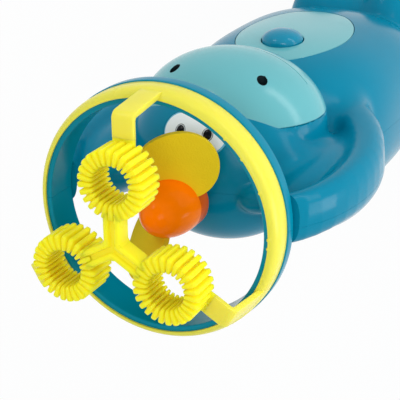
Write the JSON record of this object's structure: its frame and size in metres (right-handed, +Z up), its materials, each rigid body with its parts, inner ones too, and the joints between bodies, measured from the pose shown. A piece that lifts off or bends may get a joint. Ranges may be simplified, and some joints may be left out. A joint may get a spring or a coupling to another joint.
{
  "type": "bubble fan toy",
  "caption": "Upright hippo-shaped battery bubble fan: raised arms hold a ring with a pull-off ribbed bubble wand in front of a soft-bladed fan, worked by a belly push button.",
  "frame": {"origin": "On the floor under the middle of the figure, at the centre of the bounding box's bottom face", "axes": "+Z up along the figure and along the fan's and the ring's axis; -Y is the figure's front (muzzle and belly); +X is the figure's left"},
  "size_m": [0.1488, 0.1136, 0.303],
  "materials": {
    "blue_plastic": "glossy moulded plastic",
    "teal_plastic": "satin-gloss moulded plastic",
    "button_plastic": "polished moulded plastic",
    "yellow_plastic": "satin moulded plastic",
    "blade_foam": "soft foam with fine closed cells",
    "orange_plastic": "polished moulded plastic",
    "white_plastic": "glossy moulded plastic",
    "black_plastic": "glossy moulded plastic",
    "grey_plastic": "plain moulded plastic",
    "seal_rubber": "matt rubber",
    "steel": "nickel-plated steel",
    "motor_can": "zinc-plated drawn steel",
    "cell_jacket": "printed film jacket, plain",
    "red_lead": "soft wire insulation",
    "black_lead": "soft wire insulation"
  },
  "bodies": {
    "figure": {"front_shell": "blue_plastic", "back_shell": "blue_plastic", "ring_front": "blue_plastic", "ring_back": "blue_plastic", "ring_dowels": "blue_plastic", "muzzle_cap": "teal_plastic", "muzzle_screws": "steel", "eye_plate": "white_plastic", "pupils": "black_plastic", "belly_panel": "teal_plastic", "button_spring": "steel", "switch_body": "black_plastic", "switch_plate": "grey_plastic", "plate_screws": "steel", "motor": "motor_can", "motor_saddle": "grey_plastic", "motor_clamp": "grey_plastic", "clamp_screws": "steel", "shaft_seal": "seal_rubber", "cell_1": "cell_jacket", "cell_2": "cell_jacket", "cell_3": "cell_jacket", "contact_springs": "steel", "contact_plates": "steel", "shell_screws": "steel", "lead_battery": "red_lead", "lead_switch": "red_lead", "lead_motor": "black_lead"},
    "fan": {"motor_shaft": "steel", "fan_dome": "orange_plastic", "fan_collar": "orange_plastic", "fan_blade_1": "blade_foam", "fan_blade_2": "blade_foam"},
    "button": {"push_button": "button_plastic", "switch_plunger": "white_plastic"},
    "wand": {"wand_hoop": "yellow_plastic", "wand_yoke": "yellow_plastic", "wand_loop_front": "yellow_plastic", "wand_loop_left": "yellow_plastic", "wand_loop_right": "yellow_plastic"},
    "door": {"battery_door": "blue_plastic", "door_screw": "steel"}
  },
  "joints": [
    {"name": "fan_spin", "type": "hinge", "parent": "figure", "child": "fan", "pos_m": [0, 0.0015, 0.248], "axis": [0, 0, 1], "continuous": true},
    {"name": "button_press", "type": "slide", "parent": "figure", "child": "button", "axis": [0, 1, 0], "range_m": [0, 0.0022], "stiffness_N_per_m": 600, "deforming": ["button_spring"]},
    {"name": "wand_pull", "type": "slide", "parent": "figure", "child": "wand", "axis": [0, 0, 1], "range_m": [0, 0.04]},
    {"name": "door_off", "type": "slide", "parent": "figure", "child": "door", "axis": [0, 1, 0], "range_m": [0, 0.03]}
  ]
}
